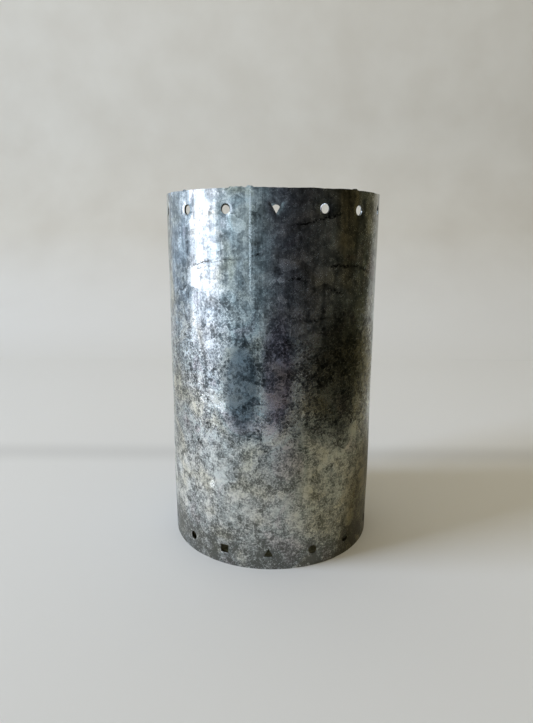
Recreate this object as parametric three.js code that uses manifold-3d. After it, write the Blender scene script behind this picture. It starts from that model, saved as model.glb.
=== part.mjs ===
// Hurricane candle lantern: a rolled galvanised sleeve with two rings of hand-punched vents,
// standing over a pressed drip pan that holds a pillar candle in a shallow cup.
// Millimetres, +Z up. The origin is on the table, under the middle of the sleeve.
// Azimuth is in degrees: 0 faces the front (-Y) and it grows towards +X.

import * as THREE from 'three';
import { mergeVertices } from 'three/addons/utils/BufferGeometryUtils.js';
import Module from 'manifold-3d';

const wasm = await Module();
wasm.setup();

// ---- Driving dimensions ----

const gap = 0.3; // clearance between pieces that touch on the real object

const sleeve = {
  radius: 76.2, // 6 in tube
  height: 254, // 10 in
  sheet: 0.7, // 24 gauge
  lap: 16,
  joggle: 6, // length over which the tucked end steps inwards
  seamAzimuth: 195,
  turnSteps: 132,
  lapSteps: 6,
};

const seamRivets = { count: 6, lowest: 24, highest: 230 };

const pan = { sheet: 0.7, floor: 3.2, flat: 55, moat: 58.2, foot: 67.6, bead: 1, beadRadius: 71, beadHeight: 6.7 };

const cup = { sheet: 0.6, radius: 38.2, wall: 10.2, lip: 1.8 };

const cupRivets = { count: 3, circle: 24 };

const rivet = { head: 3.2, crown: 1.3, shank: 1.6, tail: 2.8, tailDepth: 0.9 };

const pricket = { collar: 5, collarDepth: 1, shank: 1.9, spike: 2.2, length: 21, tail: 3.8, tailDepth: 1 };

const candle = { radius: 36.5, height: 152, pool: 7, socket: 3, socketDepth: 24, wickHole: 1.4 };

const wick = { radius: 1.1, stand: 10, lean: 2.2, sides: 8, steps: 14 };

// Punches: the number of sides, the distance from centre to corner, and the turn in degrees.
const punches = {
  round: { sides: 20, reach: 3.2, turn: 0 },
  wide: { sides: 20, reach: 3.7, turn: 0 },
  square: { sides: 4, reach: 4.3, turn: 45 },
  wedgeDown: { sides: 3, reach: 4.1, turn: 0 },
  wedgeUp: { sides: 3, reach: 4.1, turn: 180 },
};

// Each vent is [azimuth, height, punch]. They are spaced by hand, about 32 mm apart.
const topVents = [
  [-74, 242.5, 'round'], [-46.6, 242.1, 'round'], [-22.4, 241.9, 'round'], [1.7, 243, 'wedgeDown'],
  [25.1, 242, 'round'], [47.2, 241.8, 'round'], [72.7, 243.2, 'round'], [94.5, 244.5, 'round'],
  [116.1, 245.5, 'wide'], [144.3, 248.1, 'wide'], [177.7, 248.6, 'wide'], [211.6, 247.4, 'wide'],
  [242.5, 245.5, 'wide'], [266, 243.8, 'square'],
];
const bottomVents = [
  [-76, 11, 'round'], [-48, 11.1, 'round'], [-25.4, 11.3, 'square'], [-1.2, 11.3, 'wedgeUp'],
  [22.7, 11.8, 'round'], [45.4, 11.8, 'round'], [73.5, 10.6, 'round'], [96.5, 11.3, 'square'],
  [119.5, 11, 'round'], [142, 11.8, 'round'], [162.5, 11.2, 'wedgeUp'], [181, 11.5, 'round'],
  [207.5, 10.9, 'round'], [232.5, 11.6, 'round'], [258, 11.2, 'square'],
];

// Slivers of sheet that the snips left standing on the top edge: [azimuth, width, rise].
const rimBurrs = [[-48.5, 2.5, 1.1], [-17, 8, 1], [-10.5, 4, 1.6], [42.5, 4.5, 1]];

// ---- Finishes ----

const galvanised = new THREE.MeshStandardMaterial({ color: 0x868b8c, roughness: 0.45, metalness: 0.9 });
const panZinc = new THREE.MeshStandardMaterial({ color: 0x9a9c98, roughness: 0.5, metalness: 0.9 });
const rivetSteel = new THREE.MeshStandardMaterial({ color: 0xa8abad, roughness: 0.35, metalness: 1 });
const spikeSteel = new THREE.MeshStandardMaterial({ color: 0x6f6f6c, roughness: 0.4, metalness: 1 });
const wax = new THREE.MeshStandardMaterial({ color: 0xeee4cb, roughness: 0.55, metalness: 0 });
const cotton = new THREE.MeshStandardMaterial({ color: 0xd9cfb8, roughness: 0.95, metalness: 0 });

// ---- Helpers ----

const radians = THREE.MathUtils.degToRad;

/** Turns a closed geometry into a manifold solid, with the vertices its faces share merged. */
function solidOf(geometry) {
  const bare = geometry.clone();
  bare.deleteAttribute('normal');
  bare.deleteAttribute('uv');
  const merged = mergeVertices(bare, 1e-4);
  return new wasm.Manifold(new wasm.Mesh({
    numProp: 3,
    vertProperties: new Float32Array(merged.attributes.position.array),
    triVerts: new Uint32Array(merged.index.array),
  }));
}

/** Turns a manifold solid back into a three.js geometry. */
function geometryOf(solid) {
  const { vertProperties, triVerts } = solid.getMesh();
  const geometry = new THREE.BufferGeometry();
  geometry.setAttribute('position', new THREE.BufferAttribute(vertProperties, 3));
  geometry.setIndex(new THREE.BufferAttribute(triVerts, 1));
  geometry.computeVertexNormals();
  return geometry;
}

/** A geometry with every cutter taken away from it. */
function cutAway(geometry, cutters) {
  let solid = solidOf(geometry);
  for (const cutter of cutters) solid = solid.subtract(solidOf(cutter));
  return geometryOf(solid);
}

/** A solid of revolution about Z, from a profile of [radius, height] points. */
function turned(profile, segments = 72) {
  const points = profile.map(([radius, height]) => new THREE.Vector2(radius, height));
  return new THREE.LatheGeometry(points, segments).rotateX(Math.PI / 2);
}

/** Points along an arc about a centre, from one angle to another, in degrees. */
function arc([x, y], radius, from, to, steps) {
  return Array.from({ length: steps + 1 }, (_, i) => {
    const angle = radians(from + ((to - from) * i) / steps);
    return [x + radius * Math.cos(angle), y + radius * Math.sin(angle)];
  });
}

/** The place on the sleeve's wall at an azimuth and height: local Z points outwards, local Y up. */
function onWall(azimuth, height) {
  const a = radians(azimuth);
  const across = new THREE.Vector3(Math.cos(a), Math.sin(a), 0);
  const up = new THREE.Vector3(0, 0, 1);
  const out = new THREE.Vector3(Math.sin(a), -Math.cos(a), 0);
  const place = out.clone().multiplyScalar(sleeve.radius).setZ(height);
  return new THREE.Matrix4().makeBasis(across, up, out).setPosition(place);
}

function mesh(name, geometry, material) {
  const piece = new THREE.Mesh(geometry, material);
  piece.name = name;
  return piece;
}

// ---- Sleeve ----

/** The rolled sheet in plan: once round, then a step inwards and the end tucked under the start. */
function sheetPlan() {
  const { radius, sheet, lap, joggle, seamAzimuth, turnSteps, lapSteps } = sleeve;
  const degreesPerMm = 360 / (2 * Math.PI * radius);
  const start = seamAzimuth - 90 - (lap / 2) * degreesPerMm;
  const turnEnd = start + 360 - (joggle + gap) * degreesPerMm;
  const tuckedStart = start + 360 - gap * degreesPerMm;
  const tuckedEnd = tuckedStart + lap * degreesPerMm;
  const tucked = radius - sheet - gap;
  const centre = [0, 0];
  const outline = [
    ...arc(centre, radius, start, turnEnd, turnSteps),
    ...arc(centre, tucked, tuckedStart, tuckedEnd, lapSteps),
    ...arc(centre, tucked - sheet, tuckedEnd, tuckedStart, lapSteps),
    ...arc(centre, radius - sheet, turnEnd, start, turnSteps),
  ];
  return new THREE.Shape(outline.map(([x, y]) => new THREE.Vector2(x, y)));
}

/** The prism that one punch stroke takes out of the wall. */
function ventCutter([azimuth, height, punch]) {
  const { sides, reach, turn } = punches[punch];
  return new THREE.CylinderGeometry(reach, reach, 8, sides)
    .rotateX(Math.PI / 2)
    .rotateZ(radians(turn))
    .applyMatrix4(onWall(azimuth, height));
}

/** A sliver of sheet standing on the top edge, its foot sunk into the wall. */
function rimBurr([azimuth, width, rise]) {
  const foot = 0.4;
  const outline = new THREE.Shape([
    new THREE.Vector2(-width / 2, -foot),
    new THREE.Vector2(width / 2, -foot),
    new THREE.Vector2(width * 0.3, rise),
    new THREE.Vector2(-width * 0.2, rise * 0.7),
  ]);
  const inset = 0.12 + width ** 2 / (8 * sleeve.radius);
  return new THREE.ExtrudeGeometry(outline, { depth: 0.3, bevelEnabled: false })
    .translate(0, 0, -0.3 - inset)
    .applyMatrix4(onWall(azimuth, sleeve.height));
}

const seamRivetHeights = Array.from({ length: seamRivets.count }, (_, i) =>
  THREE.MathUtils.lerp(seamRivets.lowest, seamRivets.highest, i / (seamRivets.count - 1)));

function sleeveGeometry() {
  const rolled = new THREE.ExtrudeGeometry(sheetPlan(), { depth: sleeve.height, bevelEnabled: false });
  const rivetHoles = seamRivetHeights.map((height) =>
    new THREE.CylinderGeometry(rivet.shank + gap, rivet.shank + gap, 8, 16)
      .rotateX(Math.PI / 2)
      .applyMatrix4(onWall(sleeve.seamAzimuth, height)));
  const vents = [...topVents, ...bottomVents].map(ventCutter);
  let solid = solidOf(cutAway(rolled, [...vents, ...rivetHoles]));
  for (const burr of rimBurrs) solid = solid.add(solidOf(rimBurr(burr)));
  return geometryOf(solid);
}

// ---- Rivets ----

/** A tinner's rivet through a stack of sheet, its head on top of local z = 0. */
function rivetGeometry(stack) {
  const { head, crown, shank, tail, tailDepth } = rivet;
  const tailTop = -stack - gap;
  return turned([
    [0, tailTop - tailDepth],
    [tail - 0.4, tailTop - tailDepth],
    [tail, tailTop - tailDepth / 2],
    [tail, tailTop],
    [shank, tailTop],
    [shank, gap],
    [head, gap],
    [head * 0.92, gap + crown * 0.5],
    [head * 0.55, gap + crown * 0.88],
    [0, gap + crown],
  ], 20);
}

function sleeveGroup() {
  const group = new THREE.Group();
  group.add(mesh('sleeve', sleeveGeometry(), galvanised));
  const stack = 2 * sleeve.sheet + gap;
  seamRivetHeights.forEach((height, i) => {
    const piece = mesh(`seam_rivet_${i + 1}`, rivetGeometry(stack), rivetSteel);
    piece.applyMatrix4(onWall(sleeve.seamAzimuth, height));
    group.add(piece);
  });
  return group;
}

// ---- Pan, cup and spike ----

const panTop = pan.floor + pan.sheet;
const cupFloor = panTop + gap;
const cupTop = cupFloor + cup.sheet;
const candleBase = cupTop + gap + rivet.crown + gap;

/** Places on a circle, one for each rivet of the cup. */
const cupRivetPlaces = Array.from({ length: cupRivets.count }, (_, i) => {
  const angle = radians(90 + (360 * i) / cupRivets.count);
  return [cupRivets.circle * Math.cos(angle), cupRivets.circle * Math.sin(angle)];
});

/** The shank holes that the pan and the cup share: the rivets' and the spike's. */
function floorHoles() {
  const drill = (radius, x, y) => new THREE.CylinderGeometry(radius, radius, 20, 16)
    .rotateX(Math.PI / 2)
    .translate(x, y, 0);
  return [
    drill(pricket.shank + gap, 0, 0),
    ...cupRivetPlaces.map(([x, y]) => drill(rivet.shank + gap, x, y)),
  ];
}

/** A pressed disc: a raised floor, a drip moat that it stands on, and a rolled edge. */
function panGeometry() {
  const { sheet, floor, flat, moat, foot, bead, beadRadius, beadHeight } = pan;
  return cutAway(turned([
    [0, floor],
    [flat, floor],
    [moat, 0],
    [foot, 0],
    [foot + 2.6, 1],
    [foot + 3.4, 3],
    ...arc([beadRadius, beadHeight], bead, -80, 240, 8),
    [foot + 2.7, 3.1],
    [foot + 2.2, 1.5],
    [foot - 0.3, sheet],
    [moat + 0.4, sheet],
    [flat + 0.4, panTop],
    [0, panTop],
  ]), floorHoles());
}

/** A shallow cup that keeps the candle in the middle, with a lip flared outwards. */
function cupGeometry() {
  const { sheet, radius, wall, lip } = cup;
  const wallTop = cupFloor + wall;
  return cutAway(turned([
    [0, cupFloor],
    [radius - sheet, cupFloor],
    [radius, cupFloor + sheet],
    [radius, wallTop],
    [radius + lip, wallTop + lip],
    [radius + lip - 0.4, wallTop + lip + 0.5],
    [radius - sheet, wallTop + 0.2],
    [radius - sheet, cupTop + 0.2],
    [radius - sheet - 0.2, cupTop],
    [0, cupTop],
  ]), floorHoles());
}

/** A pointed spike with a collar above the cup and a peened tail under the pan. */
function pricketGeometry() {
  const { collar, collarDepth, shank, spike, length, tail, tailDepth } = pricket;
  const tailTop = pan.floor - gap;
  const collarTop = cupTop + gap + collarDepth;
  return turned([
    [0, tailTop - tailDepth],
    [tail - 0.4, tailTop - tailDepth],
    [tail, tailTop - tailDepth / 2],
    [tail, tailTop],
    [shank, tailTop],
    [shank, cupTop + gap],
    [collar, cupTop + gap],
    [collar, collarTop - 0.3],
    [spike, collarTop],
    [spike * 0.85, collarTop + length * 0.3],
    [spike * 0.45, collarTop + length * 0.75],
    [0, collarTop + length],
  ], 24);
}

function panGroup() {
  const group = new THREE.Group();
  group.add(mesh('candle_pan', panGeometry(), panZinc));
  group.add(mesh('candle_cup', cupGeometry(), panZinc));
  const stack = pan.sheet + gap + cup.sheet;
  cupRivetPlaces.forEach(([x, y], i) => {
    const piece = mesh(`cup_rivet_${i + 1}`, rivetGeometry(stack), rivetSteel);
    piece.position.set(x, y, cupTop);
    group.add(piece);
  });
  group.add(mesh('pricket_spike', pricketGeometry(), spikeSteel));
  return group;
}

// ---- Candle ----

const poolDepthAt = (share) => candle.pool * (1 - share ** 2);

/** A pillar with a dished top, a socket for the spike and a hole that the wick fills. */
function candleGeometry() {
  const { radius, height, socket, socketDepth, wickHole, pool } = candle;
  const top = candleBase + height;
  const poolRadius = radius - 3;
  return turned([
    [socket, candleBase],
    [radius - 0.8, candleBase],
    [radius, candleBase + 0.8],
    ...arc([radius - 1.5, top - 1.5], 1.5, 0, 90, 4),
    [poolRadius, top - 0.4],
    ...[0.85, 0.6, 0.3].map((share) => [poolRadius * share, top - poolDepthAt(share)]),
    [wickHole, top - pool],
    [wickHole, candleBase + socketDepth + 2],
    [socket, candleBase + socketDepth],
    [socket, candleBase],
  ]);
}

/** The wick, from just above the spike to a short lean over the melt pool. */
function wickGeometry() {
  const foot = candleBase + candle.socketDepth + 3;
  const surface = candleBase + candle.height - candle.pool;
  const path = new THREE.CatmullRomCurve3([
    new THREE.Vector3(0, 0, foot),
    new THREE.Vector3(0, 0, THREE.MathUtils.lerp(foot, surface, 0.5)),
    new THREE.Vector3(0, 0, surface - 1),
    new THREE.Vector3(wick.lean * 0.25, 0, surface + wick.stand * 0.6),
    new THREE.Vector3(wick.lean, 0, surface + wick.stand),
  ]);
  const round = new THREE.Shape(
    arc([0, 0], wick.radius, 0, 360 - 360 / wick.sides, wick.sides - 1)
      .map(([x, y]) => new THREE.Vector2(x, y)));
  return new THREE.ExtrudeGeometry(round, { steps: wick.steps, extrudePath: path });
}

function candleGroup() {
  const group = new THREE.Group();
  group.add(mesh('candle', candleGeometry(), wax));
  group.add(mesh('wick', wickGeometry(), cotton));
  return group;
}

const lantern = new THREE.Group();
lantern.add(sleeveGroup(), panGroup(), candleGroup());

export default lantern;
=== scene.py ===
"""Hurricane candle lantern: a galvanised sleeve over a drip pan that holds a pillar candle.

Everything is in metres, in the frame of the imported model: +Z up, the front towards -Y, and the
origin on the table under the middle of the sleeve. Azimuths are in degrees, 0 at the front and
growing towards +X.
"""

import logging
import math
from collections.abc import Callable, Iterable, Sequence
from dataclasses import dataclass, field
from enum import Enum

import bmesh
import bpy
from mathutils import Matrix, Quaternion, Vector, noise


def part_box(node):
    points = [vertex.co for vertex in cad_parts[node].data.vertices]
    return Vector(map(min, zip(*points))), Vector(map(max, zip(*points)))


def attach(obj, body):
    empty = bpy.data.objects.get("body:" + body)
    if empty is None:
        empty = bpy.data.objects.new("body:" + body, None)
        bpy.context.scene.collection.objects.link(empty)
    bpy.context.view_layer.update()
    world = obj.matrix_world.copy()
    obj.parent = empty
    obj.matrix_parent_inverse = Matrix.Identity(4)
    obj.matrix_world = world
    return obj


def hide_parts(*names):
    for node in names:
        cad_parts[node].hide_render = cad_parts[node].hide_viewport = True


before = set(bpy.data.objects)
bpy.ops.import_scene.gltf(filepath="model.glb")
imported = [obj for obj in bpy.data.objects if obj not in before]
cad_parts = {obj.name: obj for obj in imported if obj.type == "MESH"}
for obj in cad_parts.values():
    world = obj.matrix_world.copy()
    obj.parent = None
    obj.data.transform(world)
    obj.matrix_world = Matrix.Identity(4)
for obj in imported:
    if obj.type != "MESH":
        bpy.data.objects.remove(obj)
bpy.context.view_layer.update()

MM = 0.001

log = logging.getLogger("lantern")

Profile = list[tuple[float, float]]
Colour = tuple[float, float, float, float]
Socket = bpy.types.NodeSocket
Tree = bpy.types.NodeTree


# ---- Colours and nodes ----


def srgb(code: str) -> Colour:
    """Turn an sRGB hex colour into Blender's linear colour.

    Args:
        code: Colour such as "#8a8d8c".

    Returns:
        Linear red, green, blue and an alpha of 1.
    """
    parts = [int(code[i : i + 2], 16) / 255 for i in (1, 3, 5)]
    linear = [c / 12.92 if c <= 0.04045 else ((c + 0.055) / 1.055) ** 2.4 for c in parts]
    return (*linear, 1.0)


def per_metre(size_mm: float) -> float:
    """Return the texture scale that makes one cell of a pattern this many millimetres wide."""
    return 1.0 / (size_mm * MM)


def fill_inputs(tree: Tree, node: bpy.types.Node, inputs: dict) -> None:
    """Set or link a node's inputs.

    Args:
        tree: Node tree that holds the node.
        node: The node.
        inputs: Socket name or number to a value, or to the output socket that feeds it.
    """
    for key, value in inputs.items():
        if isinstance(value, Socket):
            tree.links.new(value, node.inputs[key])
        else:
            node.inputs[key].default_value = value


def add_node(
    tree: Tree,
    kind: str,
    inputs: dict | None = None,
    stops: Sequence[tuple[float, str]] = (),
    **settings: object,
) -> bpy.types.Node:
    """Add a shader node, set its properties, and fill or link its inputs.

    Args:
        tree: Node tree that takes the node.
        kind: Blender's name for the node, without "ShaderNode".
        inputs: What fills its inputs, as fill_inputs takes it.
        stops: A colour ramp's stops, as pairs of position and sRGB hex colour.
        **settings: Properties of the node, such as operation.

    Returns:
        The new node.
    """
    node = tree.nodes.new(f"ShaderNode{kind}")
    for name, value in settings.items():
        setattr(node, name, value)
    if stops:
        elements = node.color_ramp.elements
        while len(elements) < len(stops):
            elements.new(0.5)
        for element, (position, code) in zip(elements, stops):
            element.position = position
            element.color = srgb(code)
    fill_inputs(tree, node, inputs or {})
    return node


def summed(tree: Tree, start: float | Socket, *shares: tuple[Socket, float]) -> Socket:
    """Add up sockets, each times its share.

    Args:
        tree: Node tree to build in.
        start: What the sum starts from.
        *shares: Pairs of a socket and its share.

    Returns:
        The sum.
    """
    for source, share in shares:
        start = add_node(
            tree, "Math", {0: source, 1: share, 2: start}, operation="MULTIPLY_ADD"
        ).outputs[0]
    return start


def blank_material(name: str) -> tuple[bpy.types.Material, Tree, bpy.types.Node, Socket]:
    """Make a material that holds only a Principled shader, its output and the place it is read at.

    Args:
        name: The material's name.

    Returns:
        The material, its node tree, the shader node and the place on the object.
    """
    material = bpy.data.materials.new(name)
    material.use_nodes = True
    tree = material.node_tree
    tree.nodes.clear()
    shader = add_node(tree, "BsdfPrincipled")
    add_node(tree, "OutputMaterial", {"Surface": shader.outputs["BSDF"]})
    return material, tree, shader, add_node(tree, "TexCoord").outputs["Object"]


# ---- Finishes ----


@dataclass(frozen=True)
class WallMark:
    """A scratch, wrinkle, handling line or painted highlight line on the sleeve's wall.

    The mark lies at an azimuth and height in millimetres, tilted by an angle in degrees above the
    horizontal. Its rise is how far it stands out of the sheet, or below it where negative, and its
    shade is how much it darkens the zinc, or brightens it where negative.
    """

    azimuth: float
    height: float
    length: float
    tilt: float
    width: float
    rise: float
    shade: float
    ragged: bool = True


@dataclass(frozen=True)
class WallFilm:
    """A stain, a film of tarnish or a painted shade on the sleeve's wall: an oval that tints the zinc.

    Its middle lies at an azimuth in degrees and a height in millimetres, and it reaches so many
    millimetres to each side and so many up and down.
    """

    azimuth: float
    height: float
    across: float
    up: float
    colour: str


TARNISH_AND_PAINTED_SHADE_FILMS = (
    WallFilm(40, 240, 13, 52, "#e2d6bd"),
    WallFilm(-15, 130, 15, 42, "#939aa1"),
    WallFilm(3, 140, 12, 48, "#cbbfc9"),
    # This film and the next warm and darken the lower right side: painted shade, standing in for the
    # shadowed table and dim room that the zinc mirrors there.
    WallFilm(40, 84, 50, 112, "#e3ddc6"),
    WallFilm(66, 12, 42, 80, "#b4ab8e"),
    WallFilm(-30, 158, 13, 38, "#e2e4e7"),
    WallFilm(36, 136, 27, 56, "#a3a29b"),
)

# Rub lines, snags and roller lines that the tube picked up as it was rolled and handled, and a few
# painted highlight lines.
HANDLING_MARKS_AND_PAINTED_GLINTS = (
    WallMark(-38, 208.5, 34, 16, 1.0, -0.03, 0.65),
    WallMark(-36, 206.0, 30, 9, 0.7, -0.02, 0.4),
    WallMark(-24, 210.8, 36, 5, 0.7, -0.02, 0.45),
    WallMark(-53, 191.0, 26, 23, 1.0, -0.03, 0.5),
    WallMark(-8, 213.8, 20, 17, 1.2, -0.03, 0.6),
    WallMark(25, 236.4, 40, 13, 1.2, -0.04, 0.9),
    WallMark(16, 233.0, 22, 8, 1.1, -0.03, 0.6),
    WallMark(36, 207.4, 34, -4, 1.3, -0.04, 0.95),
    WallMark(52, 204.4, 26, -14, 1.3, -0.04, 0.9),
    WallMark(32, 192.0, 24, -19, 1.3, -0.04, 0.8),
    WallMark(22, 174.0, 38, 5, 1.4, -0.03, 0.6),
    WallMark(3, 198.6, 14, 3, 2.0, 0.05, -0.9),
    WallMark(11, 199.5, 17, -3, 1.3, -0.03, 0.8),
    # These three upright lines are faint ridges whose zinc is brightened: painted highlights, standing
    # in for the glint along them.
    WallMark(-10.2, 222.0, 74, 90, 1.0, 0.03, -2.6, ragged=False),
    WallMark(-8.4, 216.0, 88, 90, 0.7, 0.02, -0.5, ragged=False),
    WallMark(-5.4, 131.0, 74, 90, 1.0, 0.03, -0.4, ragged=False),
    WallMark(-53.6, 223.6, 13, 75, 3.4, 0.0, -0.7, ragged=False),
    WallMark(-21.0, 232.0, 15, -50, 4.0, 0.0, -0.35, ragged=False),
    WallMark(-37.6, 118.9, 10, -30, 3.6, 0.0, -1.6, ragged=False),
    WallMark(-25.5, 115.4, 10, 70, 3.4, 0.0, -1.8, ragged=False),
    WallMark(-32.1, 58.2, 7, 80, 2.6, 0.0, -1.6, ragged=False),
    WallMark(140, 176.0, 50, 68, 1.5, -0.05, 0.7),
    WallMark(-130, 120.0, 42, -24, 1.5, -0.05, 0.7),
    WallMark(-96, 205.0, 32, 10, 1.5, -0.05, 0.8),
)


@dataclass(frozen=True)
class ZincPattern:
    """What zinc's colour, gloss and relief share: masks and patterns from 0 to 1."""

    bloom: Socket
    foot: Socket
    smooth: Socket
    dry: Socket
    patches: Socket
    grain: Socket
    clusters: Socket
    tone: Socket
    flake_tone: Socket
    is_flake: Socket
    facing: Socket
    curls: Socket
    flecks: Socket
    lines: Socket


@dataclass(frozen=True)
class GalvanisedSteel:
    """Hot-dip galvanised sheet steel.

    Molten zinc freezes into crystals, the spangle, and each one lies at its own angle, so each
    catches the light by itself. Near the top the sheet is smooth and keeps a mirror's streaks;
    lower down a dry grey bloom of zinc oxide covers it. Sizes are in millimetres.
    """

    name: str
    dark: str = "#4d5152"
    middle: str = "#95999a"
    pale: str = "#eceeec"
    bloom: str = "#c9c4b2"
    crystal: float = 2.6
    flake: float = 10.0
    flake_share: float = 0.1
    tilt: float = 0.08
    roughness: float = 0.24
    contrast: float = 1.3
    bloom_cover: float = 0.36
    bloom_below: float = 84.0
    foot_below: float = 24.0
    smooth_above: float = 178.0
    bloom_spread: float = 46.0
    foot_spread: float = 26.0
    smooth_spread: float = 60.0
    patch_size: float = 30.0
    grain_size: float = 1.25
    cluster_size: float = 7.0
    line_size: float = 4.5
    film_size: float = 26.0
    fray_size: float = 1.0
    warp_size: float = 2.4
    warp_reach: float = 2.2
    wander_size: float = 5.0
    wander_reach: tuple[float, float] = (3.6, 5.0)
    marks: tuple[WallMark, ...] = ()
    films: tuple[WallFilm, ...] = ()
    wall_radius: float = 76.2

    def material(self) -> bpy.types.Material:
        """Build the finish.

        Returns:
            The material.
        """
        material, tree, shader, place = blank_material(self.name)
        axes = add_node(tree, "SeparateXYZ", {0: place})
        zinc = self._pattern(tree, place, axes.outputs[2])
        level = self._level(tree, zinc)
        colour = add_node(
            tree,
            "ValToRGB",
            {0: level},
            stops=((0.02, self.dark), (0.42, self.middle), (1.0, self.pale)),
        ).outputs[0]
        colour = self._tinted(tree, place, colour)
        thick = add_node(
            tree, "MapRange", {0: level, 1: 0.2, 2: 1.0, 3: 0.4 * self.bloom_cover, 4: self.bloom_cover}
        ).outputs[0]
        chalk = add_node(tree, "Math", {0: zinc.bloom, 1: thick}, operation="MULTIPLY").outputs[0]
        colour = add_node(
            tree, "Mix", {0: chalk, 6: colour, 7: srgb(self.bloom)}, data_type="RGBA"
        ).outputs[2]
        unrolled, ragged = self._unrolled(tree, axes, place)
        colour = self._filmed(tree, ragged, colour)
        shade, rise = self._marks(tree, place, unrolled, ragged)
        if shade is not None:
            colour = add_node(
                tree, "Mix", {0: 1.0, 6: colour, 7: shade}, data_type="RGBA", blend_type="MULTIPLY"
            ).outputs[2]
        # Zinc oxide is no metal, so the bloom scatters light where it lies thick. The bloom is
        # matt too, and the smooth zinc near the top is the glossiest.
        rough = summed(
            tree,
            self.roughness - 0.08,
            (zinc.tone, 0.06),
            (zinc.grain, 0.08),
            (zinc.bloom, 0.2),
            (zinc.dry, 0.03),
        )
        look = {
            "Base Color": colour,
            "Metallic": summed(tree, 1.0, (chalk, -0.75)),
            "Roughness": rough,
            "Normal": self._normal(tree, zinc, rise),
        }
        fill_inputs(tree, shader, look)
        return material

    def _pattern(self, tree: Tree, place: Socket, height: Socket) -> ZincPattern:
        """Grow the crystals, flakes, grain and roller lines.

        Args:
            tree: Node tree to build in.
            place: The place on the object.
            height: Its height in metres.

        Returns:
            The pattern.
        """
        patches = add_node(
            tree, "TexNoise", {"Vector": place, "Scale": per_metre(self.patch_size), "Detail": 5.0}
        ).outputs[0]
        smooth = self._height_band(
            tree, height, patches, self.smooth_above, self.smooth_spread, below=False
        )
        dry = add_node(tree, "Math", {0: 1.0, 1: smooth}, operation="SUBTRACT").outputs[0]
        bloom, foot = (
            self._height_band(tree, height, patches, edge, spread, below=True)
            for edge, spread in (
                (self.bloom_below, self.bloom_spread),
                (self.foot_below, self.foot_spread),
            )
        )

        # Crystals have crooked borders, so the pattern is read through a small warp.
        warp = add_node(
            tree, "TexNoise", {"Vector": place, "Scale": per_metre(self.warp_size), "Detail": 3.0}
        ).outputs["Color"]
        crooked = add_node(
            tree,
            "VectorMath",
            {0: warp, 1: (self.warp_reach * MM,) * 3, 2: place},
            operation="MULTIPLY_ADD",
        ).outputs[0]
        cells = {"Vector": crooked, "Scale": per_metre(self.crystal)}
        crystals = add_node(tree, "TexVoronoi", cells)
        borders = add_node(tree, "TexVoronoi", cells, feature="DISTANCE_TO_EDGE").outputs["Distance"]
        tones = add_node(tree, "SeparateColor", {0: crystals.outputs["Color"]})
        flakes = add_node(tree, "TexVoronoi", cells | {"Scale": per_metre(self.flake)})
        flake_tone = add_node(tree, "SeparateColor", {0: flakes.outputs["Color"]}).outputs[0]
        is_flake = add_node(
            tree, "Math", {0: flake_tone, 1: 1.0 - self.flake_share}, operation="GREATER_THAN"
        ).outputs[0]

        # Pale curls run along lengths of the crystals' borders, and some crystals are pale flecks.
        grain = self._spread(tree, place, self.grain_size, 0.34, 0.66, detail=5.0, roughness=0.72)
        clusters = self._spread(
            tree, crooked, self.cluster_size, 0.36, 0.64, detail=2.0, roughness=0.5
        )
        along_border = add_node(
            tree, "MapRange", {0: borders, 1: 0.01, 2: 0.13, 3: 1.0, 4: 0.0}
        ).outputs[0]
        curls = add_node(
            tree,
            "Math",
            {
                0: add_node(tree, "Math", {0: along_border, 1: grain}, operation="MULTIPLY").outputs[0],
                1: dry,
            },
            operation="MULTIPLY",
        ).outputs[0]
        heart = add_node(
            tree, "MapRange", {0: crystals.outputs["Distance"], 1: 0.12, 2: 0.5, 3: 1.0, 4: 0.0}
        ).outputs[0]
        pale_ones = add_node(
            tree, "MapRange", {0: tones.outputs[2], 1: 0.5, 2: 0.9, 3: 0.0, 4: 1.0}
        ).outputs[0]
        flecks = add_node(
            tree,
            "Math",
            {
                0: add_node(tree, "Math", {0: heart, 1: pale_ones}, operation="MULTIPLY").outputs[0],
                1: dry,
            },
            operation="MULTIPLY",
        ).outputs[0]

        # Roller lines run up the tube.
        drawn_out = add_node(
            tree, "VectorMath", {0: place, 1: (1.0, 1.0, 0.05)}, operation="MULTIPLY"
        ).outputs[0]
        lines = self._spread(tree, drawn_out, self.line_size, 0.3, 0.7, detail=4.0, roughness=0.6)
        return ZincPattern(
            bloom=bloom,
            foot=foot,
            smooth=smooth,
            dry=dry,
            patches=patches,
            grain=grain,
            clusters=clusters,
            tone=tones.outputs[1],
            flake_tone=flake_tone,
            is_flake=is_flake,
            facing=add_node(
                tree,
                "Mix",
                {0: is_flake, 6: crystals.outputs["Color"], 7: flakes.outputs["Color"]},
                data_type="RGBA",
            ).outputs[2],
            curls=curls,
            flecks=flecks,
            lines=lines,
        )

    def _level(self, tree: Tree, zinc: ZincPattern) -> Socket:
        """Work out how pale the zinc is. The crystals spread it more where the zinc is dry.

        Args:
            tree: Node tree to build in.
            zinc: The pattern.

        Returns:
            The level, 0 where the zinc is dark and 1 where it is pale.
        """
        mix = summed(
            tree,
            -0.5,
            (zinc.grain, 0.42),
            (zinc.tone, 0.28),
            (zinc.clusters, 0.3),
            (zinc.flake_tone, 0.2),
            (zinc.curls, 0.5),
            (zinc.flecks, 0.5),
        )
        spread = summed(tree, 0.72 * self.contrast, (zinc.dry, 0.3 * self.contrast))
        return summed(
            tree,
            add_node(tree, "Math", {0: mix, 1: spread}, operation="MULTIPLY").outputs[0],
            (zinc.patches, 0.4),
            (zinc.lines, 0.2),
            (
                add_node(
                    tree, "Math", {0: zinc.lines, 1: zinc.smooth}, operation="MULTIPLY"
                ).outputs[0],
                0.3,
            ),
            (zinc.is_flake, 0.2),
            (zinc.bloom, -0.04),
            (zinc.foot, -0.42),
        )

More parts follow.
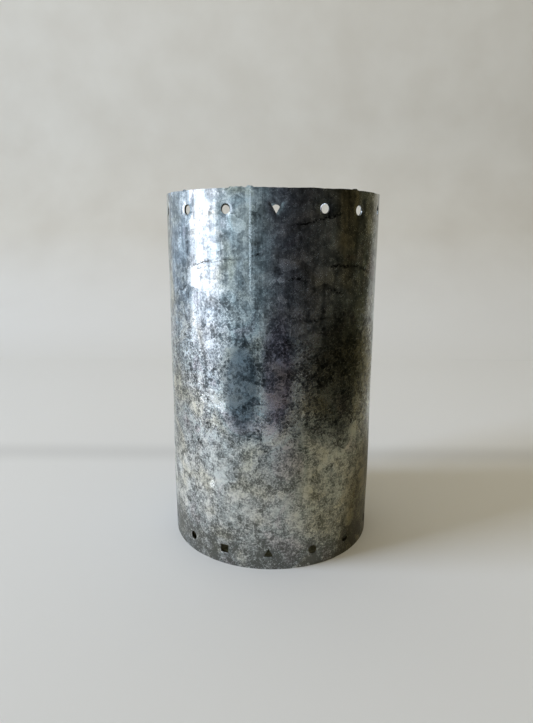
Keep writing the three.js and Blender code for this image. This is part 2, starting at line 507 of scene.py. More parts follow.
    def _normal(self, tree: Tree, zinc: ZincPattern, rise: Socket | None) -> Socket:
        """Lean each crystal its own way, then add the relief of grain, curls, lines and marks.

        Args:
            tree: Node tree to build in.
            zinc: The pattern.
            rise: Relief of the marks in metres, or None where there are none.

        Returns:
            The normal.
        """
        tilt = summed(tree, self.tilt * 0.15, (zinc.dry, self.tilt * 0.85))
        lean = add_node(
            tree,
            "VectorMath",
            {
                0: add_node(
                    tree, "VectorMath", {0: zinc.facing, 1: (0.5, 0.5, 0.5)}, operation="SUBTRACT"
                ).outputs[0],
                "Scale": tilt,
            },
            operation="SCALE",
        ).outputs[0]
        normal = add_node(tree, "NewGeometry").outputs["Normal"]
        leaning = add_node(
            tree,
            "VectorMath",
            {0: add_node(tree, "VectorMath", {0: normal, 1: lean}, operation="ADD").outputs[0]},
            operation="NORMALIZE",
        ).outputs[0]
        coarse = summed(tree, 0.0, (zinc.grain, 0.045), (zinc.curls, 0.04))
        coarse = add_node(tree, "Math", {0: coarse, 1: zinc.dry}, operation="MULTIPLY").outputs[0]
        relief = summed(tree, 0.0, (coarse, MM), (zinc.lines, 0.05 * MM))
        if rise is not None:
            relief = add_node(tree, "Math", {0: relief, 1: rise}, operation="ADD").outputs[0]
        return add_node(
            tree, "Bump", {"Height": relief, "Strength": 0.9, "Distance": 1.0, "Normal": leaning}
        ).outputs[0]

    def _spread(
        self,
        tree: Tree,
        place: Socket,
        size: float,
        low: float,
        high: float,
        detail: float,
        roughness: float,
    ) -> Socket:
        """Make noise whose middle range is stretched to fill 0 to 1.

        Args:
            tree: Node tree to build in.
            place: Where the noise is read.
            size: Size of its lumps, in millimetres.
            low: Noise value that becomes 0.
            high: Noise value that becomes 1.
            detail: Octaves of finer noise.
            roughness: How strong the finer octaves are.

        Returns:
            The stretched noise.
        """
        raw = add_node(
            tree,
            "TexNoise",
            {"Vector": place, "Scale": per_metre(size), "Detail": detail, "Roughness": roughness},
        ).outputs[0]
        return add_node(tree, "MapRange", {0: raw, 1: low, 2: high, 3: 0.0, 4: 1.0}).outputs[0]

    def _tinted(self, tree: Tree, place: Socket, colour: Socket) -> Socket:
        """Lay the faint blue-green, violet and olive films of old zinc over a colour.

        Args:
            tree: Node tree to build in.
            place: The place on the object.
            colour: The zinc's colour.

        Returns:
            The tinted colour.
        """
        drift = add_node(
            tree,
            "TexNoise",
            {"Vector": place, "Scale": per_metre(self.film_size), "Detail": 3.0, "Distortion": 0.6},
        ).outputs[0]
        tints = ((0.34, "#e6dfc6"), (0.46, "#f4f4f2"), (0.56, "#d8e5ea"), (0.66, "#e9dfe8"))
        return add_node(
            tree,
            "Mix",
            {0: 0.6, 6: colour, 7: add_node(tree, "ValToRGB", {0: drift}, stops=tints).outputs[0]},
            data_type="RGBA",
            blend_type="MULTIPLY",
        ).outputs[2]

    def _height_band(
        self, tree: Tree, height: Socket, patches: Socket, edge: float, spread: float, below: bool
    ) -> Socket:
        """Make a mask for the part of the wall above or below a ragged border.

        Args:
            tree: Node tree to build in.
            height: Height in metres.
            patches: Noise that makes the border ragged.
            edge: Height of the border's foot, in millimetres.
            spread: How wide the border is, in millimetres.
            below: True for a mask of what is below the border.

        Returns:
            The mask, from 0 to 1.
        """
        ragged = add_node(
            tree, "Math", {0: patches, 1: spread * MM, 2: height}, operation="MULTIPLY_ADD"
        ).outputs[0]
        start, end = (1.0, 0.0) if below else (0.0, 1.0)
        return add_node(
            tree,
            "MapRange",
            {0: ragged, 1: edge * MM, 2: (edge + spread) * MM, 3: start, 4: end},
            interpolation_type="SMOOTHSTEP",
        ).outputs[0]

    def _unrolled(self, tree: Tree, axes: bpy.types.Node, place: Socket) -> tuple[Socket, Socket]:
        """Unroll the wall around the front.

        Args:
            tree: Node tree to build in.
            axes: Node that splits the place into X, Y and Z.
            place: The place on the object.

        Returns:
            The way along the wall and up it in metres, as it is and with a ragged shift.
        """
        towards_front = add_node(
            tree, "Math", {0: axes.outputs[1], 1: -1.0}, operation="MULTIPLY"
        ).outputs[0]
        azimuth = add_node(
            tree, "Math", {0: axes.outputs[0], 1: towards_front}, operation="ARCTAN2"
        ).outputs[0]
        along = add_node(
            tree, "Math", {0: azimuth, 1: self.wall_radius * MM}, operation="MULTIPLY"
        ).outputs[0]
        unrolled = add_node(tree, "CombineXYZ", {0: along, 1: axes.outputs[2]}).outputs[0]
        wander = add_node(
            tree, "TexNoise", {"Vector": place, "Scale": per_metre(self.wander_size), "Detail": 4.0}
        ).outputs["Color"]
        wander = add_node(
            tree, "VectorMath", {0: wander, 1: (0.5, 0.5, 0.5)}, operation="SUBTRACT"
        ).outputs[0]
        shift = (self.wander_reach[0] * MM, self.wander_reach[1] * MM, 0.0)
        return (
            unrolled,
            add_node(
                tree, "VectorMath", {0: wander, 1: shift, 2: unrolled}, operation="MULTIPLY_ADD"
            ).outputs[0],
        )

    def _oval(
        self,
        tree: Tree,
        where: Socket,
        azimuth: float,
        height: float,
        reach: tuple[float, float],
        tilt: float = 0.0,
    ) -> Socket:
        """Make a mask that falls from 1 at the middle of an oval on the wall to 0 at its edge.

        Args:
            tree: Node tree to build in.
            where: The way along the wall and up it.
            azimuth: Azimuth of the middle, in degrees.
            height: Height of the middle, in millimetres.
            reach: How far it reaches along its two axes, in millimetres.
            tilt: Its angle above the horizontal, in degrees.

        Returns:
            The mask.
        """
        placed = {
            "Vector": where,
            "Location": (math.radians(azimuth) * self.wall_radius * MM, height * MM, 0.0),
            "Rotation": (0.0, 0.0, math.radians(tilt)),
            "Scale": (reach[0] * MM, reach[1] * MM, 1.0),
        }
        local = add_node(tree, "Mapping", placed, vector_type="TEXTURE").outputs[0]
        return add_node(tree, "TexGradient", {0: local}, gradient_type="SPHERICAL").outputs["Fac"]

    def _marks(
        self, tree: Tree, place: Socket, unrolled: Socket, ragged: Socket
    ) -> tuple[Socket | None, Socket | None]:
        """Draw the scratches, snags, roller lines and painted highlight lines, each as a long thin
        oval.

        Args:
            tree: Node tree to build in.
            place: The place on the object.
            unrolled: The way along the wall and up it.
            ragged: The same with a ragged shift.

        Returns:
            The factor that darkens or brightens the colour, and the relief in metres, or None
            for each where the finish has no marks.
        """
        if not self.marks:
            return None, None
        shade: Socket | float = 0.0
        rise: Socket | float = 0.0
        for mark in self.marks:
            where = ragged if mark.ragged else unrolled
            reach = (mark.length / 2, mark.width)
            mask = self._oval(tree, where, mark.azimuth, mark.height, reach, mark.tilt)
            shade = summed(tree, shade, (mask, 2 * mark.shade))
            rise = summed(tree, rise, (mask, mark.rise * MM))
        # A scratch skips and frays, so its darkness breaks up along its length.
        broken = self._spread(tree, place, self.fray_size, 0.43, 0.53, detail=3.0, roughness=0.7)
        shade = add_node(
            tree,
            "Math",
            {0: 1.0, 1: add_node(tree, "Math", {0: shade, 1: broken}, operation="MULTIPLY").outputs[0]},
            operation="SUBTRACT",
        ).outputs[0]
        return (add_node(tree, "Math", {0: shade, 1: 0.04}, operation="MAXIMUM").outputs[0], rise)

    def _filmed(self, tree: Tree, ragged: Socket, colour: Socket) -> Socket:
        """Lay the stains, films of tarnish and painted shade over a colour.

        Args:
            tree: Node tree to build in.
            ragged: The way along the wall and up it, with a ragged shift.
            colour: The zinc's colour.

        Returns:
            The stained and shaded colour.
        """
        for film in self.films:
            mask = self._oval(tree, ragged, film.azimuth, film.height, (film.across, film.up))
            cover = add_node(
                tree, "Math", {0: mask, 1: 2.4}, operation="MULTIPLY", use_clamp=True
            ).outputs[0]
            colour = add_node(
                tree,
                "Mix",
                {0: cover, 6: colour, 7: srgb(film.colour)},
                data_type="RGBA",
                blend_type="MULTIPLY",
            ).outputs[2]
        return colour


@dataclass(frozen=True)
class PlatedSteel:
    """Zinc-plated or bare steel turnings: an even grey with a faint cloud and fine scratches."""

    name: str
    colour: str
    cloud: str
    roughness: float

    def material(self) -> bpy.types.Material:
        """Build the finish.

        Returns:
            The material.
        """
        material, tree, shader, place = blank_material(self.name)
        clouds = add_node(
            tree, "TexNoise", {"Vector": place, "Scale": per_metre(2.5), "Detail": 4.0}
        ).outputs[0]
        tooling = add_node(
            tree, "TexNoise", {"Vector": place, "Scale": per_metre(0.6), "Detail": 2.0}
        ).outputs[0]
        look = {
            "Base Color": add_node(
                tree, "ValToRGB", {0: clouds}, stops=((0.3, self.cloud), (0.65, self.colour))
            ).outputs[0],
            "Metallic": 1.0,
            "Roughness": summed(tree, self.roughness - 0.15, (clouds, 0.3)),
            "Normal": add_node(
                tree,
                "Bump",
                {
                    "Height": add_node(
                        tree, "Math", {0: tooling, 1: 0.03 * MM}, operation="MULTIPLY"
                    ).outputs[0],
                    "Strength": 0.8,
                    "Distance": 1.0,
                },
            ).outputs[0],
        }
        fill_inputs(tree, shader, look)
        return material


@dataclass(frozen=True)
class IvoryWax:
    """Poured paraffin wax: light goes a little way in, the skin is faintly mottled and smooth."""

    name: str = "ivory_wax"
    body: str = "#efe5ca"
    warm: str = "#ebddb9"
    soot: str = "#8c7a5c"
    soot_reach: float = 15 * MM
    pool_height: float = 0.15

    def material(self) -> bpy.types.Material:
        """Build the finish.

        Returns:
            The material.
        """
        material, tree, shader, place = blank_material(self.name)
        mottle = add_node(
            tree, "TexNoise", {"Vector": place, "Scale": per_metre(14), "Detail": 5.0}
        ).outputs[0]
        colour = add_node(
            tree, "ValToRGB", {0: mottle}, stops=((0.35, self.warm), (0.62, self.body))
        ).outputs[0]
        # Soot darkens the top round the wick.
        flat = add_node(
            tree, "VectorMath", {0: place, 1: (1.0, 1.0, 0.0)}, operation="MULTIPLY"
        ).outputs[0]
        from_wick = add_node(tree, "VectorMath", {0: flat}, operation="LENGTH").outputs["Value"]
        near = add_node(
            tree,
            "MapRange",
            {0: from_wick, 1: 2 * MM, 2: self.soot_reach, 3: 0.75, 4: 0.0},
            interpolation_type="SMOOTHSTEP",
        ).outputs[0]
        height = add_node(tree, "SeparateXYZ", {0: place}).outputs[2]
        at_top = add_node(
            tree, "Math", {0: height, 1: self.pool_height - 2 * MM}, operation="GREATER_THAN"
        ).outputs[0]
        burnt = add_node(
            tree,
            "Math",
            {
                0: add_node(tree, "Math", {0: near, 1: at_top}, operation="MULTIPLY").outputs[0],
                1: mottle,
            },
            operation="MULTIPLY",
        ).outputs[0]
        pits = add_node(
            tree, "TexNoise", {"Vector": place, "Scale": per_metre(2.2), "Detail": 3.0}
        ).outputs[0]
        look = {
            "Base Color": add_node(
                tree, "Mix", {0: burnt, 6: colour, 7: srgb(self.soot)}, data_type="RGBA"
            ).outputs[2],
            "Roughness": summed(tree, 0.32, (mottle, 0.25)),
            "Normal": add_node(
                tree,
                "Bump",
                {
                    "Height": add_node(
                        tree, "Math", {0: pits, 1: 0.06 * MM}, operation="MULTIPLY"
                    ).outputs[0],
                    "Strength": 0.6,
                    "Distance": 1.0,
                },
            ).outputs[0],
            "IOR": 1.44,
            "Subsurface Weight": 0.35,
            "Subsurface Radius": (1.0, 0.75, 0.45),
            "Subsurface Scale": 4 * MM,
        }
        fill_inputs(tree, shader, look)
        return material


@dataclass(frozen=True)
class BraidedCotton:
    """Waxed cotton yarn: soft fibres along each strand, burnt black at the tip."""

    name: str = "braided_cotton"
    yarn: str = "#d8cbb0"
    shadow: str = "#a8987a"
    char: str = "#15110e"
    char_above: float = 0.155
    char_edge: float = 3 * MM

    def material(self) -> bpy.types.Material:
        """Build the finish.

        Returns:
            The material.
        """
        material, tree, shader, place = blank_material(self.name)
        fibres = add_node(
            tree, "TexNoise", {"Vector": place, "Scale": per_metre(0.35), "Detail": 3.0}
        ).outputs[0]
        colour = add_node(
            tree, "ValToRGB", {0: fibres}, stops=((0.35, self.shadow), (0.65, self.yarn))
        ).outputs[0]
        height = add_node(tree, "SeparateXYZ", {0: place}).outputs[2]
        ragged = summed(tree, height, (fibres, 2 * MM))
        burnt = add_node(
            tree,
            "MapRange",
            {0: ragged, 1: self.char_above, 2: self.char_above + self.char_edge, 3: 0.0, 4: 1.0},
        ).outputs[0]
        look = {
            "Base Color": add_node(
                tree, "Mix", {0: burnt, 6: colour, 7: srgb(self.char)}, data_type="RGBA"
            ).outputs[2],
            "Roughness": 0.9,
            "Normal": add_node(
                tree,
                "Bump",
                {
                    "Height": add_node(
                        tree, "Math", {0: fibres, 1: 0.08 * MM}, operation="MULTIPLY"
                    ).outputs[0],
                    "Strength": 1.0,
                    "Distance": 1.0,
                },
            ).outputs[0],
        }
        fill_inputs(tree, shader, look)
        return material


@dataclass(frozen=True)
class MattPaper:
    """Smooth matt paper: white where it lies flat, cream and faintly cloudy higher up.

    Its colour is greyed along a soft band from side to side behind the object: painted shade that
    stands in for a fold where table meets wall, though the paper is flat there.
    """

    name: str = "matt_paper_painted_crease"
    foot: str = "#dedfdd"
    high: str = "#d1cec4"
    cloud: str = "#cac6bb"
    cloud_size: float = 120.0
    high_above: float = 0.24
    painted_crease_y: float = 0.135
    painted_crease_reach: float = 0.034
    painted_crease_shade: float = 0.12

    def material(self) -> bpy.types.Material:
        """Build the finish.

        Returns:
            The material.
        """
        material, tree, shader, place = blank_material(self.name)
        axes = add_node(tree, "SeparateXYZ", {0: place})
        clouds = add_node(
            tree, "TexNoise", {"Vector": place, "Scale": per_metre(self.cloud_size), "Detail": 3.0}
        ).outputs[0]
        colour = add_node(
            tree, "ValToRGB", {0: clouds}, stops=((0.3, self.cloud), (0.7, self.high))
        ).outputs[0]
        height = add_node(
            tree, "MapRange", {0: axes.outputs[2], 1: 0.0, 2: self.high_above, 3: 0.0, 4: 1.0}
        ).outputs[0]
        colour = add_node(
            tree, "Mix", {0: height, 6: srgb(self.foot), 7: colour}, data_type="RGBA"
        ).outputs[2]
        # Painted shade: the colour is greyed along a band behind the object, standing in for the shade
        # of a fold where table meets wall; the paper itself is flat there.
        away = add_node(
            tree,
            "Math",
            {
                0: add_node(
                    tree, "Math", {0: axes.outputs[1], 1: self.painted_crease_y}, operation="SUBTRACT"
                ).outputs[0],
            },
            operation="ABSOLUTE",
        ).outputs[0]
        light = add_node(
            tree,
            "MapRange",
            {0: away, 1: 0.0, 2: self.painted_crease_reach, 3: 1.0 - self.painted_crease_shade, 4: 1.0},
            interpolation_type="SMOOTHSTEP",
        ).outputs[0]
        fill_inputs(
            tree,
            shader,
            {
                "Base Color": add_node(
                    tree, "VectorMath", {0: colour, "Scale": light}, operation="SCALE"
                ).outputs[0],
                "Roughness": 0.85,
            },
        )
        return material


# ---- Mesh tools ----


def smoothstep(low: float, high: float, value: float) -> float:
    """Return 0 below low, 1 above high, and a smooth rise between them."""
    share = min(1.0, max(0.0, (value - low) / (high - low)))
    return share * share * (3 - 2 * share)


def finished_mesh(name: str, points: list, faces: list, sharp_angle: float = 38.0) -> bpy.types.Mesh:
    """Turn points and faces into a smooth-shaded mesh with its real edges kept sharp.

    Args:
        name: The mesh's name.
        points: Vertex places in metres.
        faces: Vertex numbers of each face.
        sharp_angle: Bend, in degrees, above which an edge stays sharp.

    Returns:
        The mesh, with its faces pointing out.
    """
    mesh = bpy.data.meshes.new(name)
    mesh.from_pydata(points, [], faces)
    tidy = bmesh.new()
    tidy.from_mesh(mesh)
    bmesh.ops.recalc_face_normals(tidy, faces=tidy.faces)
    for face in tidy.faces:
        face.smooth = True
    tidy.to_mesh(mesh)
    tidy.free()
    mesh.set_sharp_from_angle(angle=math.radians(sharp_angle))
    return mesh


def arc(centre: tuple[float, float], radius: float, start: float, end: float, steps: int) -> Profile:
    """Return points along an arc, with angles in degrees."""
    return [
        (
            centre[0] + radius * math.cos(math.radians(start + (end - start) * i / steps)),
            centre[1] + radius * math.sin(math.radians(start + (end - start) * i / steps)),
        )
        for i in range(steps + 1)
    ]


def rounded(path: Profile, radius: float, steps: int = 5) -> Profile:
    """Round the corners of a path.

    Args:
        path: Points of radius and height.
        radius: How far from each corner the rounding starts, at most half of each side.
        steps: Points on each rounded corner.

    Returns:
        The path with its inner corners rounded.
    """
    result = [path[0]]
    for before, corner, after in zip(path, path[1:], path[2:]):
        b, c, a = Vector(before), Vector(corner), Vector(after)
        start = c + (b - c).normalized() * min(radius, (b - c).length / 2)
        end = c + (a - c).normalized() * min(radius, (a - c).length / 2)
        for i in range(steps + 1):
            t = i / steps
            point = start * (1 - t) ** 2 + c * 2 * t * (1 - t) + end * t**2
            result.append((point.x, point.y))
    return [*result, path[-1]]


def thickened(path: Profile, sheet: float) -> Profile:
    """Turn the lower line of a pressed sheet into its closed section.

    Args:
        path: The lower or outer line, from the middle outwards.
        sheet: Thickness of the sheet.

    Returns:
        The lower line out and the upper line back.
    """
    upper = []
    for i, point in enumerate(path):
        before, after = Vector(path[max(i - 1, 0)]), Vector(path[min(i + 1, len(path) - 1)])
        run = (after - before).normalized()
        upper.append((max(0.0, point[0] - run.y * sheet), point[1] + run.x * sheet))
    return [*path, *reversed(upper)]


def turned_mesh(
    name: str,
    profile: Profile,
    segments: int,
    swell: Callable[[float, float, float], float] | None = None,
    closed: bool = False,
) -> bpy.types.Mesh:
    """Turn a profile about Z.

    Args:
        name: The mesh's name.
        profile: Points of radius and height. It starts and ends on the axis, or is closed.
        segments: Steps round the axis.
        swell: Gives what is added to the radius at an angle, radius and height.
        closed: True where the last point joins the first.

    Returns:
        The mesh.
    """
    points: list[tuple[float, float, float]] = []
    rings: list[list[int]] = []
    for radius, height in profile:
        if radius < 1e-7:
            rings.append([len(points)] * segments)
            points.append((0.0, 0.0, height))
            continue
        rings.append(list(range(len(points), len(points) + segments)))
        for i in range(segments):
            angle = 2 * math.pi * i / segments
            reach = radius + (swell(angle, radius, height) if swell else 0.0)
            points.append((reach * math.cos(angle), reach * math.sin(angle), height))
    pairs = list(zip(rings, rings[1:]))
    if closed:
        pairs.append((rings[-1], rings[0]))
    faces = []
    for low, high in pairs:
        for i in range(segments):
            j = (i + 1) % segments
            corners = list(dict.fromkeys((low[i], low[j], high[j], high[i])))
            if len(corners) > 2:
                faces.append(corners)
    return finished_mesh(name, points, faces)


def add_piece(
    name: str,
    mesh: bpy.types.Mesh,
    finishes: Iterable[bpy.types.Material],
    body: str,
    node: str,
) -> bpy.types.Object:
    """Put a finished piece in the scene in place of its CAD solid.

    Args:
        name: The piece's name.
        mesh: Its mesh, in the row frame.
        finishes: Its materials, one for each material slot.
        body: The CAD body it rides on.
        node: The CAD node that it stands for.

    Returns:
        The new object.
    """
    piece = bpy.data.objects.new(name, mesh)
    bpy.context.scene.collection.objects.link(piece)
    for finish in finishes:
        mesh.materials.append(finish)
    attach(piece, body)
    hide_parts(node)
    log.info("%s: %d faces, rides on %s, stands for %s", name, len(mesh.polygons), body, node)
    return piece


# ---- Sleeve ----


class Punch(Enum):
    """A punch: its number of corners (0 where round), its reach in mm and its first corner."""

    ROUND = (0, 3.2, 0.0)
    WIDE = (0, 3.7, 0.0)
    SQUARE = (4, 4.3, 45.0)
    WEDGE_DOWN = (3, 4.1, -90.0)
    WEDGE_UP = (3, 4.1, 90.0)

    @property
    def reach(self) -> float:
        """Distance from the middle to a corner, in metres."""
        return self.value[1] * MM

    def edge(self, angle: float) -> float:
        """Distance from the middle to the edge in one direction, in metres."""
        corners, _, first = self.value
        if not corners:
            return self.reach
        sector = 2 * math.pi / corners
        off = (angle - math.radians(first) + sector / 2) % sector - sector / 2
        return self.reach * math.cos(sector / 2) / math.cos(sector / 2 - abs(off))

    def corner_angles(self) -> list[float]:
        """Directions of the corners, in radians."""
        corners, _, first = self.value
        return [math.radians(first + 360 * i / corners) for i in range(corners)]


@dataclass(frozen=True)
class Vent:
    """A hole punched through the wall from outside, at an azimuth and a height in millimetres."""

    azimuth: float
    height: float
    punch: Punch = Punch.ROUND


@dataclass(frozen=True)
class RimBurr:
    """A sliver that the snips left standing on the top edge; sizes in millimetres."""

    azimuth: float
    width: float
    rise: float


TOP_VENTS = (
    Vent(-74, 242.5),
    Vent(-46.6, 242.1),
    Vent(-22.4, 241.9),
    Vent(1.7, 243, Punch.WEDGE_DOWN),
    Vent(25.1, 242),
    Vent(47.2, 241.8),
    Vent(72.7, 243.2),
    Vent(94.5, 244.5),
    Vent(116.1, 245.5, Punch.WIDE),
    Vent(144.3, 248.1, Punch.WIDE),
    Vent(177.7, 248.6, Punch.WIDE),
    Vent(211.6, 247.4, Punch.WIDE),
    Vent(242.5, 245.5, Punch.WIDE),
    Vent(266, 243.8, Punch.SQUARE),
)
BOTTOM_VENTS = (
    Vent(-76, 11),
    Vent(-48, 11.1),
    Vent(-25.4, 11.3, Punch.SQUARE),
    Vent(-1.2, 11.3, Punch.WEDGE_UP),
    Vent(22.7, 11.8),
    Vent(45.4, 11.8),
    Vent(73.5, 10.6),
    Vent(96.5, 11.3, Punch.SQUARE),
    Vent(119.5, 11),
    Vent(142, 11.8),
    Vent(162.5, 11.2, Punch.WEDGE_UP),
    Vent(181, 11.5),
    Vent(207.5, 10.9),
    Vent(232.5, 11.6),
    Vent(258, 11.2, Punch.SQUARE),
)
RIM_BURRS = (
    RimBurr(-48.5, 2.5, 1.1),
    RimBurr(-17, 8, 1.0),
    RimBurr(-10.5, 4, 1.6),
    RimBurr(42.5, 4.5, 1.0),
)


@dataclass
class Sleeve:
    """The rolled tube: one sheet whose tucked end is riveted under its other end at the back."""

    height: float = 254 * MM
    sheet: float = 0.7 * MM
    lap: float = 16 * MM
    joggle: float = 6 * MM
    gap: float = 0.3 * MM
    seam_azimuth: float = 195.0
    column: float = 1.25 * MM
    band: float = 22.5 * MM
    middle_row: float = 3.8 * MM
    dish_depth: float = 0.5 * MM
    dish_reach: float = 1.7 * MM
    radius: float = field(init=False)
    girth: float = field(init=False)
    lap_angle: float = field(init=False)
    start: float = field(init=False)
    vents: tuple[Vent, ...] = TOP_VENTS + BOTTOM_VENTS

    def __post_init__(self) -> None:
        """Take the radius from the CAD sleeve."""
        low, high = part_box("sleeve")
        self.radius = (high[0] - low[0]) / 2
        self.lap_angle = math.degrees(self.lap / self.radius)
        self.start = self.seam_azimuth - self.lap_angle / 2
        self.girth = 2 * math.pi * self.radius

    def build(self) -> None:
        """Build the sheet, give it its thickness and put it in the scene."""
        points, faces = self._outer_skin()
        mesh = finished_mesh("sleeve_skin", points, faces)
        self._face_outwards(mesh)
        skin = bpy.data.objects.new("sleeve_skin", mesh)
        bpy.context.scene.collection.objects.link(skin)
        thick = skin.modifiers.new("sheet", "SOLIDIFY")
        thick.thickness = self.sheet
        thick.offset = -1.0
        thick.use_rim = True
        thick.material_offset = 1
        thick.material_offset_rim = 2
        for _ in range(3):
            mesh.materials.append(None)
        graph = bpy.context.evaluated_depsgraph_get()
        solid = bpy.data.meshes.new_from_object(skin.evaluated_get(graph), depsgraph=graph)
        solid.name = "sleeve_tube"
        solid.materials.clear()
        solid.set_sharp_from_angle(angle=math.radians(45))
        bpy.data.objects.remove(skin)
        outside = GalvanisedSteel(
            "galvanised_steel_outside",
            marks=HANDLING_MARKS_AND_PAINTED_GLINTS,
            films=TARNISH_AND_PAINTED_SHADE_FILMS,
            wall_radius=self.radius / MM,
        ).material()
        inside = GalvanisedSteel(
            "galvanised_steel_sooted",
            dark="#4b4736",
            middle="#86816a",
            pale="#aaa48c",
            bloom="#b5aa82",
            roughness=0.42,
            contrast=0.6,
            bloom_cover=0.75,
            foot_below=-60.0,
        ).material()
        cut_edge = PlatedSteel("sheared_steel_edge", "#77787a", "#4a4743", 0.45).material()
        add_piece(
            "sleeve_tube", solid, (outside, inside, cut_edge), "sleeve_body", "sleeve"
        )

    def _outer_skin(self) -> tuple[list, list]:
        """Lay out the outer face of the sheet as a grid with a ring of faces round each vent.

        Returns:
            The vertices, rolled up, and the faces.
        """
        length = self.girth + self.lap
        columns = round(length / self.column)
        step = length / columns
        heights = self._row_heights()
        rows = len(heights)
        flat = [(i * step, z) for i in range(columns + 1) for z in heights]
        faces_at = {(i, j) for i in range(columns) for j in range(rows - 1)}
        faces: list[tuple[int, ...]] = []
        for vent in self.vents:
            along = self._along(vent.azimuth)
            height = vent.height * MM
            reach = vent.punch.reach + 2.4 * MM
            left, right = int((along - reach) / step), int((along + reach) / step) + 1
            low = max(j for j in range(rows) if heights[j] <= max(height - reach, heights[1]))
            high = min(j for j in range(rows) if heights[j] >= min(height + reach, heights[-2]))
            faces_at -= {(i, j) for i in range(left, right) for j in range(low, high)}
            loop = [
                *((i, low) for i in range(left, right)),
                *((right, j) for j in range(low, high)),
                *((i, high) for i in range(right, left, -1)),
                *((left, j) for j in range(high, low, -1)),
            ]
            border = [i * rows + j for i, j in loop]
            self._ring_vent(vent.punch, (along, height), border, flat, faces)
        faces += [
            (i * rows + j, (i + 1) * rows + j, (i + 1) * rows + j + 1, i * rows + j + 1)
            for i, j in sorted(faces_at)
        ]
        used = sorted({v for face in faces for v in face})
        renumbered = {old: new for new, old in enumerate(used)}
        points = [self._rolled(*flat[old]) for old in used]
        return points, [tuple(renumbered[v] for v in face) for face in faces]

    def _row_heights(self) -> list[float]:
        """Heights of the grid's rows: close together beside the edges, wider between them.

        Returns:
            The heights in metres, from the foot up.
        """
        fine = round(self.band / self.column)
        coarse = round((self.height - 2 * self.band) / self.middle_row)
        low = [self.band * i / fine for i in range(fine)]
        middle = [
            self.band + (self.height - 2 * self.band) * i / coarse for i in range(coarse)
        ]
        high = [self.height - self.band + self.band * i / fine for i in range(fine + 1)]
        return low + middle + high

    def _along(self, azimuth: float) -> float:
        """Return how far along the sheet an azimuth lies, from the sheet's outer end."""
        return ((azimuth - self.start) % 360) / 360 * self.girth

    def _ring_vent(
        self,
        punch: Punch,
        centre: tuple[float, float],
        border: list[int],
        flat: list[tuple[float, float]],
        faces: list[tuple[int, ...]],
    ) -> None:
        """Join a vent's edge to the grid round it with rings of faces.

        Args:
            punch: The punch that made the vent.
            centre: Its middle on the flat sheet.
            border: Numbers of the grid's points round it, in order.
            flat: Points on the flat sheet, which gains the rings' points.
            faces: Faces, which gains the rings' faces.
        """
        angles = [
            math.atan2(flat[v][1] - centre[1], flat[v][0] - centre[0]) for v in border
        ]
        edge = [
            (
                centre[0] + punch.edge(angle) * math.cos(angle),
                centre[1] + punch.edge(angle) * math.sin(angle),
            )
            for angle in angles
        ]
        for corner in punch.corner_angles():
            nearest = min(
                range(len(angles)),
                key=lambda i: abs((angles[i] - corner + math.pi) % (2 * math.pi) - math.pi),
            )
            edge[nearest] = (
                centre[0] + punch.reach * math.cos(corner),
                centre[1] + punch.reach * math.sin(corner),
            )
        rings = []
        for share in (0.0, 0.1, 0.24, 0.45, 0.7):
            rings.append(range(len(flat), len(flat) + len(border)))
            for (x, z), v in zip(edge, border):
                flat.append((x + (flat[v][0] - x) * share, z + (flat[v][1] - z) * share))
        count = len(border)
        for inner, outer in zip(rings, [*rings[1:], border]):
            for i in range(count):
                j = (i + 1) % count
                faces.append((inner[i], outer[i], outer[j], inner[j]))

    def _rolled(self, along: float, height: float) -> tuple[float, float, float]:
        """Roll a point of the flat sheet up into the tube.

        Args:
            along: Way along the sheet from its outer end.
            height: Height above the table.

        Returns:
            The place in metres.
        """
        azimuth = math.radians(self.start + along / self.girth * 360)
        out = Vector((math.sin(azimuth), -math.cos(azimuth), 0.0))
        wall = out * self.radius + Vector((0, 0, height))
        reach = self.radius + self.unevenness(wall) - self._dish(along, height)
        tuck_end = self.girth - self.gap
        step_in = smoothstep(tuck_end - self.joggle, tuck_end, along)
        reach -= step_in * (self.sheet + self.gap)
        height += self._rim_rise(math.degrees(azimuth), height)
        reach += self._rim_bend(wall, height)
        return (out.x * reach, out.y * reach, height)

    def unevenness(self, wall: Vector) -> float:
        """Return how far hand rolling left the wall from a true cylinder.

        Args:
            wall: The place on the true cylinder.

        Returns:
            Outward distance in metres.
        """
        dents = noise.noise(wall / (58 * MM)) * 0.34
        streaks = noise.noise(Vector((wall.x, wall.y, wall.z * 0.3)) / (17 * MM)) * 0.13
        rolls = noise.noise(Vector((wall.x, wall.y, wall.z * 0.1)) / (8 * MM)) * 0.045
        fuller = 0.45 * math.exp(-(((wall.z - 52 * MM) / (34 * MM)) ** 2))
        return (dents + streaks + rolls + fuller - 0.1) * MM

    def _dish(self, along: float, height: float) -> float:
        """Return how far the punches pushed the sheet in at a point.

        Args:
            along: Way along the sheet from its outer end.
            height: Height above the table.

        Returns:
            Inward distance in metres.
        """
        depth = 0.0
        for vent in self.vents:
            across = along - self._along(vent.azimuth)
            up = height - vent.height * MM
            if abs(across) > 12 * MM or abs(up) > 12 * MM:
                continue
            angle = math.atan2(up, across)
            beyond = max(0.0, math.hypot(across, up) - vent.punch.edge(angle))
            depth += self.dish_depth * math.exp(-((beyond / self.dish_reach) ** 1.4))
        return depth

